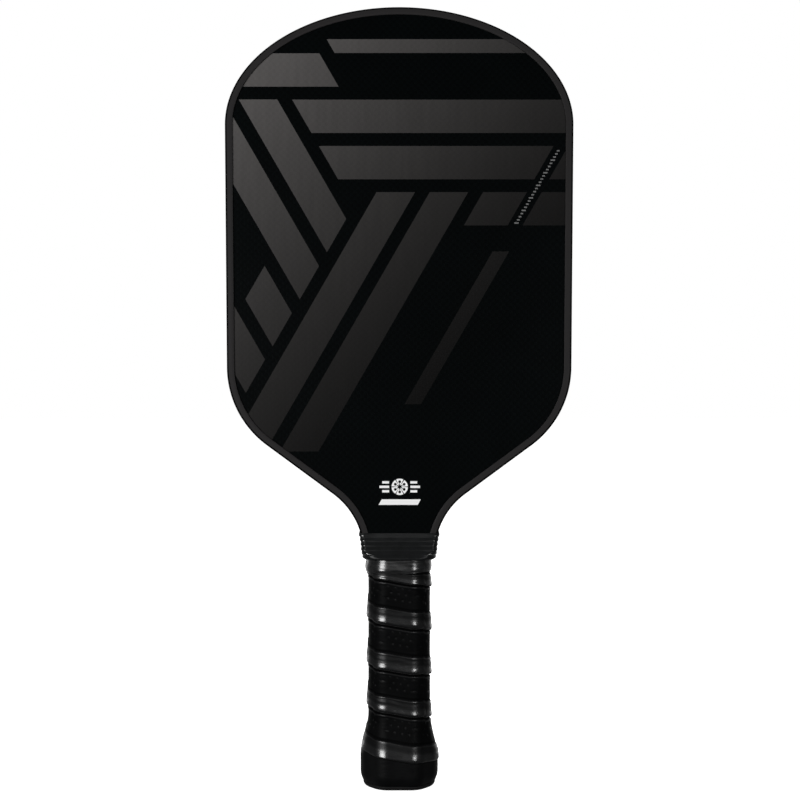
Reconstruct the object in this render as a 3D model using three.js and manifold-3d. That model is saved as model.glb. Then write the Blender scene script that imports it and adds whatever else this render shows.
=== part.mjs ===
// A pickleball paddle: a honeycomb panel between carbon faces, framed by a foam rim and a plastic edge guard,
// with a tang that carries two handle shells, a butt cap and a wound cushion grip under a rubber collar.
//
// Millimetres. X is across the head, Y through its thickness with the front face at -Y, and Z runs from the butt
// to the top of the head. The origin is the middle of the butt's flat end.

import * as THREE from "three";
import { mergeGeometries, mergeVertices } from "three/addons/utils/BufferGeometryUtils.js";
import Module from "manifold-3d";

const wasm = await Module();
wasm.setup();

// ---------------------------------------------------------------- driving dimensions

const LENGTH = 419.1; // 16.5 in overall
const HEAD_HALF = 93.7; // half the head's width where it is widest
const CROWN = 63; // height of the half ellipse that tops the head
const SIDE_HALF = 92.6; // half width where the straight side ends
const SIDE_END = 226; // height of that end
const SHOULDER_R = 52.6; // round corner below the side
const THROAT_R = 40; // hollow curve from the corner into the throat
const THROAT_HALF = 19.2; // half width of the throat
const THROAT_Z = 125.2; // where the hollow curve turns upright

const GUARD_WALL = 1.6; // edge guard: outer wall
const GUARD_LIP = 4.1; // reach of its lips over the face, from its outer side
const GUARD_LIP_T = 0.9; // lip thickness
const GUARD_ROUND = 0.9; // rounding of its outer edges
const GUARD_END = 128.3; // its two ends, under the collar

const CORE_HALF = 8; // half of a 16 mm core
const FILM = 0.2; // scrim film that bonds a face to the core
const SHEET = 0.6; // carbon face sheet
const PANEL_HALF = CORE_HALF + FILM + SHEET;
const FOAM_RIM = 8; // width of the foam around the core
const CELL_PITCH = 12.7; // honeycomb, across flats
const CELL_WALL = 0.7;
const CORE_BOTTOM = 150.3;
const NECK_Z = 129; // below it the panel narrows to the tang
const NECK_BOTTOM = 124.2;
const TANG_HALF = 10.5;
const TANG_BOTTOM = 5.3;

const GRIP_HALF_X = 17; // outside of the grip above the flare
const GRIP_HALF_Y = 14;
const FACET_X = 10.2; // half width of the octagon's front facet
const FACET_Y = 7; // and of its side facet
const CORNER_CUT = 0.12; // share of each side that is cut off at a corner
const FLARE = 4.1; // how far the butt stands out from the grip
const FLARE_CURVE = 1.4; // power of the curve that it swells by
const FLARE_TOP = 38;
const FLARE_FULL = 17.5;
const GRIP_T = 1.8;
const GRIP_BOTTOM = 2.6;
const GRIP_TOP = 123.9;
const HEEL_Z = 8; // below it the grip tucks in towards the butt's end
const HEEL_TUCK = 1.5;

const SHELL_TOP = 123.6;
const CAP_SKIRT_TOP = 30;
const CAP_FLOOR = 5;
const CAP_EDGE = 2; // rounding of the cap's end
const CAP_RIM_INSET = 0.2; // the rim stands in from the grip by this
const BADGE_R = 11;
const BADGE_T = 0.8;
const BADGE_EDGE = 0.3;
const BADGE_RECESS = 1;

const TAPE_T = 0.25;
const TAPE_BOTTOM = 115;
const COLLAR_BOTTOM = 122.5;
const COLLAR_TOP = 136.5;
const COLLAR_RIBS = 6;
const COLLAR_WALL = 0.5;
const COLLAR_BEAD = 1.2; // extra wall at its lower end
const RIB = 0.3;

const WIRE = 0.7; // staple wire
const STAPLE_CROWN = 8;
const STAPLE_LEG = 6;
const STAPLE_SINK = 0.15; // depth of its crown below the cap's skirt

const GAP = 0.3; // glue line between neighbouring pieces

// ---------------------------------------------------------------- solids and cuts

// A closed geometry as a solid that can be cut.
function solid(geometry) {
  const bare = geometry.clone();
  for (const name of Object.keys(bare.attributes)) {
    if (name !== "position") bare.deleteAttribute(name);
  }
  const merged = mergeVertices(bare, 1e-4);
  return new wasm.Manifold(
    new wasm.Mesh({
      numProp: 3,
      vertProperties: merged.attributes.position.array,
      triVerts: new Uint32Array(merged.index.array),
    }),
  );
}

function geometryOf(made) {
  const mesh = made.getMesh();
  return new THREE.BufferGeometry()
    .setAttribute("position", new THREE.BufferAttribute(mesh.vertProperties, 3))
    .setIndex(new THREE.BufferAttribute(mesh.triVerts, 1));
}

function cut(base, ...tools) {
  return geometryOf(tools.reduce((left, tool) => left.subtract(solid(tool)), solid(base)));
}

// A flat outline in X and Z, extruded through the thickness from y0 to y1.
function slab(points, y0, y1, bevel = {}) {
  const shape = new THREE.Shape(points);
  return new THREE.ExtrudeGeometry(shape, { depth: y1 - y0, bevelEnabled: false, ...bevel })
    .rotateX(Math.PI / 2)
    .translate(0, y1, 0);
}

function box(x0, x1, y0, y1, z0, z1) {
  return new THREE.BoxGeometry(x1 - x0, y1 - y0, z1 - z0).translate((x0 + x1) / 2, (y0 + y1) / 2, (z0 + z1) / 2);
}

// A skin over rings of equal length, listed counterclockwise from above while the list climbs the outside.
// A ring of one point closes an end; with loop set, the last ring joins the first.
function loft(rings, loop = false) {
  const positions = [];
  const spans = loop ? rings.length : rings.length - 1;
  for (let i = 0; i < spans; i++) {
    const low = rings[i];
    const high = rings[(i + 1) % rings.length];
    const count = Math.max(low.length, high.length);
    for (let j = 0; j < count; j++) {
      const k = (j + 1) % count;
      const corners = [low[j % low.length], low[k % low.length], high[k % high.length], high[j % high.length]];
      if (low.length > 1) positions.push(corners[0], corners[1], corners[2]);
      if (high.length > 1) positions.push(corners[0], corners[2], corners[3]);
    }
  }
  return new THREE.BufferGeometry().setFromPoints(positions);
}

// ---------------------------------------------------------------- the head's outline

const shoulderCentre = new THREE.Vector2(SIDE_HALF - SHOULDER_R, SIDE_END);
const throatCentre = new THREE.Vector2(THROAT_HALF + THROAT_R, THROAT_Z);

// The angle that the outline turns through at each round corner, so that the line between them is tangent to both.
function turn() {
  const between = throatCentre.clone().sub(shoulderCentre);
  const lean = Math.acos((SHOULDER_R + THROAT_R) / between.length());
  return -(Math.atan2(between.y, between.x) + lean);
}

// The right half of the outline from its bottom to the top of the head, moved in by inset.
function rightHalf(inset, bottom) {
  const points = [];
  const reach = THROAT_R + inset;
  const rise = Math.max(0, bottom - THROAT_Z);
  const first = Math.PI - Math.asin(rise / reach);
  const last = Math.PI - turn();
  if (bottom < THROAT_Z) points.push(new THREE.Vector2(THROAT_HALF - inset, bottom));
  for (let i = 0; i <= 6; i++) {
    const angle = first + ((last - first) * i) / 6;
    points.push(new THREE.Vector2(Math.cos(angle), Math.sin(angle)).multiplyScalar(reach).add(throatCentre));
  }
  for (let i = 0; i <= 8; i++) {
    const angle = -turn() * (1 - i / 8);
    const radius = SHOULDER_R - inset;
    points.push(new THREE.Vector2(Math.cos(angle), Math.sin(angle)).multiplyScalar(radius).add(shoulderCentre));
  }
  for (let i = 0; i <= 20; i++) {
    const angle = ((Math.PI / 2) * i) / 20;
    const normal = new THREE.Vector2(Math.cos(angle) / HEAD_HALF, Math.sin(angle) / CROWN).normalize();
    const onEllipse = new THREE.Vector2(HEAD_HALF * Math.cos(angle), LENGTH - CROWN + CROWN * Math.sin(angle));
    points.push(onEllipse.addScaledVector(normal, -inset));
  }
  points.at(-1).x = 0;
  return points;
}

function mirrored(half) {
  const left = half
    .filter((p) => p.x > 0)
    .map((p) => new THREE.Vector2(-p.x, p.y))
    .reverse();
  return [...half, ...left];
}

const headOutline = (inset, bottom) => mirrored(rightHalf(inset, bottom));

// The head's outline inside the guard, then the narrow tang down the handle.
function panelOutline() {
  const inset = GUARD_WALL + GAP;
  const tang = [
    new THREE.Vector2(TANG_HALF, TANG_BOTTOM),
    new THREE.Vector2(TANG_HALF, NECK_BOTTOM),
  ];
  return mirrored([...tang, ...rightHalf(inset, NECK_Z)]);
}

// ---------------------------------------------------------------- the handle's sections

const smooth = (t) => t * t * (3 - 2 * t);
const share = (z, from, to) => THREE.MathUtils.clamp((z - from) / (to - from), 0, 1);

// How far the grip's outside stands beyond its straight part at height z.
function flareAt(z) {
  const out = FLARE * share(z, FLARE_TOP, FLARE_FULL) ** FLARE_CURVE;
  const tuck = HEEL_TUCK * share(z, HEEL_Z, GRIP_BOTTOM) ** 2;
  return out - tuck;
}

// An octagon with each corner cut again, at height z and moved out by offset.
function octagon(offset, z) {
  const a = GRIP_HALF_X + offset;
  const b = GRIP_HALF_Y + offset;
  const slope = Math.tan(Math.PI / 8);
  const f = FACET_X + Math.min(0, offset) * slope;
  const g = FACET_Y + Math.min(0, offset) * slope;
  const corners = [
    [a, g],
    [f, b],
    [-f, b],
    [-a, g],
    [-a, -g],
    [-f, -b],
    [f, -b],
    [a, -g],
  ].map(([x, y]) => new THREE.Vector2(x, y));
  return corners.flatMap((corner, i) => {
    const before = corners.at(i - 1);
    const after = corners[(i + 1) % 8];
    return [corner.clone().lerp(before, CORNER_CUT), corner.clone().lerp(after, CORNER_CUT)].map(
      (p) => new THREE.Vector3(p.x, p.y, z),
    );
  });
}

function circle(radius, z, count) {
  return Array.from({ length: count }, (_, i) => {
    const angle = ((i + 0.5) / count) * Math.PI * 2;
    return new THREE.Vector3(radius * Math.cos(angle), radius * Math.sin(angle), z);
  });
}

const SECTION_POINTS = octagon(0, 0).length;
const BARE = -(GRIP_T + GAP); // the bare handle, measured in from the grip's outside

// ---------------------------------------------------------------- the panel

function honeycomb() {
  const outline = headOutline(GUARD_WALL + FOAM_RIM + 2 * GAP, CORE_BOTTOM);
  const walls = headOutline(GUARD_WALL + FOAM_RIM + 2 * GAP + CELL_WALL, CORE_BOTTOM + CELL_WALL);
  const cellRadius = (CELL_PITCH - CELL_WALL) / Math.sqrt(3);
  const rowStep = (CELL_PITCH * Math.sqrt(3)) / 2;
  const middle = (CORE_BOTTOM + LENGTH) / 2;
  const rows = Math.ceil((LENGTH - CORE_BOTTOM) / rowStep / 2);
  const columns = Math.ceil(HEAD_HALF / CELL_PITCH);
  const keepIn = headOutline(GUARD_WALL + FOAM_RIM + CELL_WALL + cellRadius / 3, CORE_BOTTOM + cellRadius / 2);
  const cells = [];
  for (let row = -rows; row <= rows; row++) {
    const z = middle + row * rowStep;
    const shift = row % 2 ? CELL_PITCH / 2 : 0;
    for (let column = -columns; column <= columns; column++) {
      const x = column * CELL_PITCH + shift;
      if (!isInside(keepIn, x, z)) continue;
      cells.push(new THREE.CylinderGeometry(cellRadius, cellRadius, CORE_HALF * 4, 6).translate(x, 0, z));
    }
  }
  const clipped = solid(mergeGeometries(cells)).intersect(solid(slab(walls, -CORE_HALF * 3, CORE_HALF * 3)));
  return geometryOf(solid(slab(outline, -CORE_HALF, CORE_HALF)).subtract(clipped));
}

function isInside(outline, x, z) {
  let inside = false;
  outline.forEach((a, i) => {
    const b = outline[(i + 1) % outline.length];
    const crosses = a.y > z !== b.y > z;
    if (crosses && x < a.x + ((z - a.y) * (b.x - a.x)) / (b.y - a.y)) inside = !inside;
  });
  return inside;
}

function perimeterFoam() {
  const core = headOutline(GUARD_WALL + FOAM_RIM + GAP, CORE_BOTTOM - GAP);
  const insertHalf = TANG_HALF + GAP;
  return cut(
    slab(panelOutline(), -CORE_HALF, CORE_HALF),
    slab(core, -CORE_HALF * 2, CORE_HALF * 2),
    box(-insertHalf, insertHalf, -CORE_HALF * 2, CORE_HALF * 2, 0, CORE_BOTTOM),
  );
}

// A U section all round the head: the rounded outside, less the panel's channel and the window over the face.
function edgeGuard() {
  const half = PANEL_HALF + GUARD_LIP_T;
  const outside = slab(headOutline(0, GUARD_END - LENGTH / 10), -half + GUARD_ROUND, half - GUARD_ROUND, {
    bevelEnabled: true,
    bevelThickness: GUARD_ROUND,
    bevelSize: GUARD_ROUND,
    bevelOffset: -GUARD_ROUND,
    bevelSegments: 3,
  });
  return cut(
    outside,
    slab(headOutline(GUARD_WALL, 0), -PANEL_HALF, PANEL_HALF),
    slab(headOutline(GUARD_LIP, 0), -half * 2, half * 2),
    box(-HEAD_HALF, HEAD_HALF, -half * 2, half * 2, 0, GUARD_END),
  );
}

// ---------------------------------------------------------------- the handle

// A staple that lies across `along` with its legs pointing down -Z, its crown's outer face at z = 0.
function stapleGeometry(spare) {
  const half = STAPLE_CROWN / 2 + spare;
  const t = WIRE / 2 + spare;
  const legHalf = STAPLE_CROWN / 2 - WIRE - spare;
  const outline = [
    [-half, spare],
    [-half, -STAPLE_LEG - spare],
    [-legHalf, -STAPLE_LEG - spare],
    [-legHalf, -WIRE - spare],
    [legHalf, -WIRE - spare],
    [legHalf, -STAPLE_LEG - spare],
    [half, -STAPLE_LEG - spare],
    [half, spare],
  ].map(([x, y]) => new THREE.Vector2(x, y));
  return slab(outline, -t, t);
}

const skirtOuter = (z) => flareAt(z) + BARE;

// Each staple's place: legs drawn in from the cap's side towards the tang.
const staplePlaces = {
  butt_staple_left: { turn: -Math.PI / 2, out: GRIP_HALF_X, z: 20 },
  butt_staple_right: { turn: Math.PI / 2, out: GRIP_HALF_X, z: 20 },
  grip_start_staple: { turn: Math.PI, out: GRIP_HALF_Y, z: 13 },
};

function placedStaple(place, spare) {
  const depth = place.out + skirtOuter(place.z) - STAPLE_SINK;
  return stapleGeometry(spare)
    .rotateX(Math.PI / 2)
    .translate(0, -depth, place.z)
    .rotateZ(place.turn);
}

const stapleHoles = () => Object.values(staplePlaces).map((place) => placedStaple(place, GAP));

// Half of the handle's octagon with a channel for the tang. side is -1 at the front.
function handleShell(side) {
  const bar = loft([
    [new THREE.Vector3(0, 0, TANG_BOTTOM)],
    octagon(BARE, TANG_BOTTOM),
    octagon(BARE, SHELL_TOP),
    [new THREE.Vector3(0, 0, SHELL_TOP)],
  ]);
  const channelHalf = TANG_HALF + GAP;
  const channel = box(-channelHalf, channelHalf, -PANEL_HALF, PANEL_HALF, 0, LENGTH);
  const otherHalf = box(-HEAD_HALF, HEAD_HALF, -GAP / 2, CROWN, 0, LENGTH);
  if (side > 0) otherHalf.rotateZ(Math.PI);
  return cut(bar, channel, otherHalf, ...stapleHoles());
}

// A cup with a flat octagonal end, a round recess for the badge and a skirt that swells with the flare.
function buttCap() {
  const n = SECTION_POINTS;
  const rim = flareAt(GRIP_BOTTOM) - CAP_RIM_INSET;
  const edge = [0, 1, 2, 3].map((i) => {
    const angle = ((Math.PI / 2) * i) / 3;
    return octagon(rim - CAP_EDGE * (1 - Math.sin(angle)), CAP_EDGE * (1 - Math.cos(angle)));
  });
  const skirt = [0, 1, 2, 3, 4, 5].map((i) => {
    const z = THREE.MathUtils.lerp(GRIP_BOTTOM - GAP, CAP_SKIRT_TOP, i / 5);
    return octagon(skirtOuter(z), z);
  });
  const rings = [
    [new THREE.Vector3(0, 0, BADGE_RECESS)],
    circle(BADGE_R + GAP, BADGE_RECESS, n),
    circle(BADGE_R + GAP, 0, n),
    ...edge,
    octagon(rim, GRIP_BOTTOM - GAP),
    ...skirt,
    octagon(BARE + GAP, CAP_SKIRT_TOP),
    octagon(BARE + GAP, CAP_FLOOR),
    [new THREE.Vector3(0, 0, CAP_FLOOR)],
  ];
  return cut(loft(rings), ...stapleHoles());
}

function buttBadge() {
  const top = BADGE_RECESS;
  const profile = [
    [0, top - BADGE_T],
    [BADGE_R - BADGE_EDGE, top - BADGE_T],
    [BADGE_R, top - BADGE_T + BADGE_EDGE],
    [BADGE_R, top],
    [0, top],
  ].map(([x, y]) => new THREE.Vector2(x, y));
  return new THREE.LatheGeometry(profile, 32).rotateX(Math.PI / 2);
}

// A sleeve between two offsets of the handle's octagon, over the given heights.
function sleeve(heights, outer, inner) {
  const outside = heights.map((z) => octagon(outer(z), z));
  const inside = heights.map((z) => octagon(inner(z), z)).reverse();
  return loft([...outside, ...inside], true);
}

function cushionGrip() {
  const heights = [GRIP_BOTTOM, 5, HEEL_Z, 13, FLARE_FULL, 23, 28, 33, FLARE_TOP, GRIP_TOP];
  return sleeve(heights, flareAt, (z) => flareAt(z) - GRIP_T);
}

function finishingTape() {
  const outer = () => GAP / 2 + TAPE_T;
  return sleeve([TAPE_BOTTOM, GRIP_TOP - GAP], outer, () => GAP / 2);
}

// A rectangle with round corners, counterclockwise.
function roundedRectangle(a, b, radius, z) {
  const steps = 4;
  const points = [];
  for (let corner = 0; corner < 4; corner++) {
    const cx = (corner === 0 || corner === 3 ? 1 : -1) * (a - radius);
    const cy = (corner < 2 ? 1 : -1) * (b - radius);
    for (let i = 0; i <= steps; i++) {
      const angle = (corner + i / steps) * (Math.PI / 2);
      points.push(new THREE.Vector3(cx + radius * Math.cos(angle), cy + radius * Math.sin(angle), z));
    }
  }
  return points;
}

// The collar's inside at height z, moved out by out: flat and wide over the throat, rounder over the grip.
function collarSection(z, out) {
  const up = share(z, COLLAR_BOTTOM, COLLAR_TOP);
  const overGuard = smooth(share(z, COLLAR_BOTTOM, GUARD_END - 0.5));
  const throat = throatCentre.x - Math.sqrt(THROAT_R ** 2 - (z - THROAT_Z) ** 2);
  const a = THREE.MathUtils.lerp(GRIP_HALF_X + 0.7, throat + GAP, overGuard);
  const b = THREE.MathUtils.lerp(GRIP_HALF_Y + 0.7, PANEL_HALF + GUARD_LIP_T + GAP, smooth(up));
  const radius = THREE.MathUtils.lerp(7, 1.5, overGuard);
  return roundedRectangle(a + out, b + out, radius + out, z);
}

function collarOutside(z, rib) {
  const bead = COLLAR_BEAD * (1 - smooth(share(z, COLLAR_BOTTOM, GUARD_END - 0.5)));
  return collarSection(z, COLLAR_WALL + bead + rib);
}

function gripCollar() {
  const ribStep = (COLLAR_TOP - COLLAR_BOTTOM) / COLLAR_RIBS;
  const outside = [];
  for (let rib = 0; rib < COLLAR_RIBS; rib++) {
    const z = COLLAR_BOTTOM + rib * ribStep;
    outside.push(collarOutside(z, 0));
    outside.push(collarOutside(z + ribStep * 0.3, RIB));
    outside.push(collarOutside(z + ribStep * 0.7, RIB));
  }
  outside.push(collarOutside(COLLAR_TOP, 0));
  const inside = [];
  for (let step = COLLAR_RIBS; step >= 0; step--) {
    inside.push(collarSection(COLLAR_BOTTOM + step * ribStep, 0));
  }
  return loft([...outside, ...inside], true);
}

// ---------------------------------------------------------------- materials

const finish = (color, roughness, metalness = 0) => new THREE.MeshStandardMaterial({ color, roughness, metalness });
const carbon = finish(0x0b0c0d, 0.55);
const film = finish(0xd9d6c8, 0.7);
const comb = finish(0xe6e3d8, 0.5);
const foam = finish(0xc9c4b2, 0.9);
const guardPlastic = finish(0x2b292a, 0.5);
const shellFoam = finish(0x8d8a80, 0.85);
const capPlastic = finish(0x17171a, 0.4);
const badgeFilm = finish(0x3a3a3d, 0.35);
const steel = finish(0xb8bcc0, 0.3, 1);
const cushion = finish(0x101113, 0.35);
const tape = finish(0x141517, 0.2);
const rubber = finish(0x16191a, 0.5);

// ---------------------------------------------------------------- the assembly

const paddle = new THREE.Group();

function add(name, geometry, material) {
  const mesh = new THREE.Mesh(geometry, material);
  mesh.name = name;
  paddle.add(mesh);
}

add("front_face_sheet", slab(panelOutline(), -PANEL_HALF, -PANEL_HALF + SHEET), carbon);
add("back_face_sheet", slab(panelOutline(), PANEL_HALF - SHEET, PANEL_HALF), carbon);
add("front_scrim_film", slab(panelOutline(), -CORE_HALF - FILM, -CORE_HALF), film);
add("back_scrim_film", slab(panelOutline(), CORE_HALF, CORE_HALF + FILM), film);
add("honeycomb_core", honeycomb(), comb);
add("perimeter_foam", perimeterFoam(), foam);
add("tang_insert", box(-TANG_HALF, TANG_HALF, -CORE_HALF, CORE_HALF, TANG_BOTTOM, CORE_BOTTOM - GAP), foam);
add("edge_guard", edgeGuard(), guardPlastic);
add("front_handle_shell", handleShell(-1), shellFoam);
add("back_handle_shell", handleShell(1), shellFoam);
add("butt_cap", buttCap(), capPlastic);
add("butt_badge", buttBadge(), badgeFilm);
for (const [name, place] of Object.entries(staplePlaces)) {
  add(name, placedStaple(place, 0), steel);
}
add("cushion_grip", cushionGrip(), cushion);
add("finishing_tape", finishingTape(), tape);
add("grip_collar", gripCollar(), rubber);

export default paddle;
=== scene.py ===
"""The looks of a pickleball paddle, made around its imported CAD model.

Shapes are worked out in millimetres and turned into metres by mesh_piece(). X is across the head, the
front face looks along -Y, and Z runs up from the butt's flat end.
"""

import math

import bmesh
import bpy
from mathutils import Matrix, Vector, noise


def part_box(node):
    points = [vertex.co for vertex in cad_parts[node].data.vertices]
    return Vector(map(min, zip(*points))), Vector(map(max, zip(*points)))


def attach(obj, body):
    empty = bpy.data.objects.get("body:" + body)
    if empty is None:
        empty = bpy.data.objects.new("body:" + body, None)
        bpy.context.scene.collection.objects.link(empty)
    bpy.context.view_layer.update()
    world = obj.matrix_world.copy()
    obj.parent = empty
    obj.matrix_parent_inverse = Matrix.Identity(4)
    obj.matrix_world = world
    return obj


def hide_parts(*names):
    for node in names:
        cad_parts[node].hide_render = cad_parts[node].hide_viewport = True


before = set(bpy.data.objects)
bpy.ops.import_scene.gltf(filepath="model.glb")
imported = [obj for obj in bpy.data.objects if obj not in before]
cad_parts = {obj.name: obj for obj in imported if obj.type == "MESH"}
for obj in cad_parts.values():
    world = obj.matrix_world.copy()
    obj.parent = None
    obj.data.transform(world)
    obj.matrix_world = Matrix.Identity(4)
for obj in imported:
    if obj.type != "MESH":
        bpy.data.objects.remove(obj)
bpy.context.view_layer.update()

MM = 0.001
SQRT3_2 = math.sqrt(3) / 2


def box_mm(node):
    low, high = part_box(node)
    return [v / MM for v in low], [v / MM for v in high]


guard_low, guard_high = box_mm("edge_guard")
grip_low, grip_high = box_mm("cushion_grip")
collar_low, collar_high = box_mm("grip_collar")
_, cap_high = box_mm("butt_cap")
badge_low, badge_high = box_mm("butt_badge")
tape_low, tape_high = box_mm("finishing_tape")
sheet_low, _ = box_mm("front_face_sheet")

# ---- driving dimensions, as in the CAD model

LENGTH = guard_high[2]
HEAD_HALF = guard_high[0]
CROWN = 63
SIDE_HALF = 92.6
SIDE_END = 226
SHOULDER_R = 52.6
THROAT_R = 40
THROAT_HALF = 19.2
THROAT_Z = 125.2

PANEL_HALF = -sheet_low[1]
GUARD_HALF = guard_high[1]
GUARD_WALL = 1.6
GUARD_LIP = 4.1
GUARD_ROUND = 0.9
GUARD_END = guard_low[2]
LIP_CLEARANCE = 0.07
LIP_EDGE = 0.25
LIP_START = 0.95  # where the lip's charcoal begins, from the outer wall
LIP_BLEND = 0.12
LIP_CROWN = 0.06
SPLIT_LINE = 0.14  # depth of the moulding line round the outer wall

GRIP_HALF_X = 17
GRIP_HALF_Y = 14
FACET_X = 10.2
FACET_Y = 7
FLARE = 4.1
FLARE_CURVE = 1.4
FLARE_TOP = 38
FLARE_FULL = 17.5
HEEL_Z = 8
HEEL_TUCK = 1.5
GRIP_T = 1.8
GAP = 0.3

# ---- small tools


def lerp(a, b, t):
    return a + (b - a) * t


def share(value, start, end):
    return min(1.0, max(0.0, (value - start) / (end - start)))


def smooth(t):
    return t * t * (3 - 2 * t)


def bump_between(value, start, end, soft):
    """1 between start and end, falling smoothly to 0 over soft on either side."""
    return smooth(share(value, start - soft, start)) * (1 - smooth(share(value, end, end + soft)))


def curve_through(points, value):
    """Smooth interpolation through (position, height) pairs."""
    if value <= points[0][0]:
        return points[0][1]
    for (a, low), (b, high) in zip(points, points[1:]):
        if value <= b:
            return lerp(low, high, smooth((value - a) / (b - a)))
    return points[-1][1]


def mesh_piece(name, points, faces, material, body="root", sharp_angle=40, attributes=None):
    """A closed mesh from points in millimetres, riding on a body. Zero-area faces are merged away."""
    mesh = bpy.data.meshes.new(name)
    mesh.from_pydata([[v * MM for v in p] for p in points], [], faces)
    for key, values in (attributes or {}).items():
        mesh.attributes.new(key, "FLOAT", "POINT").data.foreach_set("value", values)
    bm = bmesh.new()
    bm.from_mesh(mesh)
    bmesh.ops.remove_doubles(bm, verts=bm.verts, dist=2e-6)
    bmesh.ops.recalc_face_normals(bm, faces=bm.faces)
    for face in bm.faces:
        face.smooth = True
    for edge in bm.edges:
        if len(edge.link_faces) == 2 and edge.calc_face_angle(0) > math.radians(sharp_angle):
            edge.smooth = False
    bm.to_mesh(mesh)
    bm.free()
    mesh.materials.append(material)
    piece = bpy.data.objects.new(name, mesh)
    bpy.context.scene.collection.objects.link(piece)
    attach(piece, body)
    return piece


def loft(rings, closed=False):
    """Points and faces of a skin over rings of one length. Its end rings are capped unless it is closed."""
    count = len(rings[0])
    points = [p for ring in rings for p in ring]
    faces = []
    spans = len(rings) if closed else len(rings) - 1
    for i in range(spans):
        a = i * count
        b = (i + 1) % len(rings) * count
        for j in range(count):
            k = (j + 1) % count
            faces.append((a + j, a + k, b + k, b + j))
    if not closed:
        faces.append(tuple(range(count))[::-1])
        faces.append(tuple(range(len(points) - count, len(points))))
    return points, faces


# ---- material tools


class Shading:
    """A material whose nodes are made by calls that take sockets or plain values as inputs."""

    def __init__(self, name, **constants):
        self.material = bpy.data.materials.new(name)
        self.material.use_nodes = True
        self.tree = self.material.node_tree
        self.shader = self.tree.nodes["Principled BSDF"]
        for socket, value in constants.items():
            self.shader.inputs[socket.replace("_", " ")].default_value = value

    def put(self, socket, value):
        if isinstance(value, bpy.types.NodeSocket):
            self.tree.links.new(value, socket)
        else:
            socket.default_value = value

    def node(self, kind, inputs, output=0, **settings):
        made = self.tree.nodes.new("ShaderNode" + kind)
        for key, value in settings.items():
            setattr(made, key, value)
        for key, value in inputs.items():
            self.put(made.inputs[key], value)
        return made.outputs[output]

    def math(self, operation, a, b=0.0, c=0.0, clamp=False):
        return self.node("Math", {0: a, 1: b, 2: c}, operation=operation, use_clamp=clamp)

    def place(self, scale=1.0):
        """The position in millimetres, times scale."""
        where = self.node("TexCoord", {}, output="Object")
        factors = scale if isinstance(scale, tuple) else (scale,) * 3
        return self.node("VectorMath", {0: where, 1: [f / MM for f in factors]}, operation="MULTIPLY")

    def axes(self, vector):
        split = self.tree.nodes.new("ShaderNodeSeparateXYZ")
        self.put(split.inputs[0], vector)
        return split.outputs

    def noise(self, scale, detail=3.0, roughness=0.5, vector=None):
        where = self.place(scale) if vector is None else vector
        inputs = {"Vector": where, "Scale": 1.0, "Detail": detail, "Roughness": roughness}
        return self.node("TexNoise", inputs)

    def cells(self, scale, feature="F1", output="Distance"):
        inputs = {"Vector": self.place(scale), "Scale": 1.0}
        return self.node("TexVoronoi", inputs, output=output, feature=feature)

    def attribute(self, name):
        return self.node("Attribute", {}, output="Fac", attribute_name=name)

    def range(self, value, low, high, to_low=0.0, to_high=1.0):
        inputs = {"Value": value, "From Min": low, "From Max": high, "To Min": to_low, "To Max": to_high}
        return self.node("MapRange", inputs, clamp=True)

    def mix(self, factor, a, b, blend="MIX"):
        """A mix of two colours."""
        made = self.tree.nodes.new("ShaderNodeMix")
        made.data_type = "RGBA"
        made.blend_type = blend
        for socket, value in zip((made.inputs[0], made.inputs[6], made.inputs[7]), (factor, a, b)):
            self.put(socket, value)
        return made.outputs[2]

    def tone(self, value, tint=(1.0, 1.0, 1.0)):
        """A colour from a single brightness."""
        parts = {axis: self.math("MULTIPLY", value, t) for axis, t in zip(("Red", "Green", "Blue"), tint)}
        return self.node("CombineColor", parts)

    def bump(self, height, distance, under=None):
        """A bump whose distance is in millimetres."""
        inputs = {"Height": height, "Distance": distance * MM, "Strength": 1.0}
        if under is not None:
            inputs["Normal"] = under
        return self.node("Bump", inputs)

    def finish(self, **links):
        for socket, value in links.items():
            self.put(self.shader.inputs[socket.replace("_", " ")], value)
        return self.material


def rgba(r, g, b):
    return (r, g, b, 1.0)


# ---- materials

WEAVE = 1.9  # width of a carbon tow
PRINT_LIGHT = (-0.2287, 0.2593)  # painted light: how the ink's brightness changes across X and up Z, per millimetre, brightest to the upper left seen from the front
PRINT_BASE = -38.2
INK_GAIN = 1.08


def weave_height(m, pitch):
    """A plain weave over X and Z: tows that pass over and under each other."""
    x, _, z = m.axes(m.place(math.pi / pitch))
    across = m.math("ABSOLUTE", m.math("SINE", x))
    along = m.math("ABSOLUTE", m.math("SINE", z))
    parity_x = m.math("FLOOR", m.math("MULTIPLY", x, 1 / math.pi))
    parity_z = m.math("FLOOR", m.math("MULTIPLY", z, 1 / math.pi))
    checker = m.math("FLOORED_MODULO", m.math("ADD", parity_x, parity_z), 2.0)
    over = m.math("MULTIPLY", across, checker)
    under = m.math("MULTIPLY", along, m.math("SUBTRACT", 1.0, checker))
    return m.math("ADD", over, under), checker


def carbon_material():
    m = Shading("carbon_face", Specular_IOR_Level=0.018)
    height, checker = weave_height(m, WEAVE)
    grain = m.noise(5.0, detail=4.0, roughness=0.65)
    cloud = m.noise(0.03, detail=2.0)
    shade = m.math("MULTIPLY_ADD", checker, 0.0005, 0.0006)
    shade = m.math("MULTIPLY_ADD", grain, 0.001, shade)
    shade = m.math("MULTIPLY", shade, m.range(cloud, 0.3, 0.7, 0.8, 1.15))
    rough = m.range(grain, 0.3, 0.7, 0.36, 0.5)
    normal = m.bump(height, 0.02, m.bump(grain, 0.03))
    return m.finish(Base_Color=m.tone(shade, (0.6, 1.05, 1.15)), Roughness=rough, Normal=normal)


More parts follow.
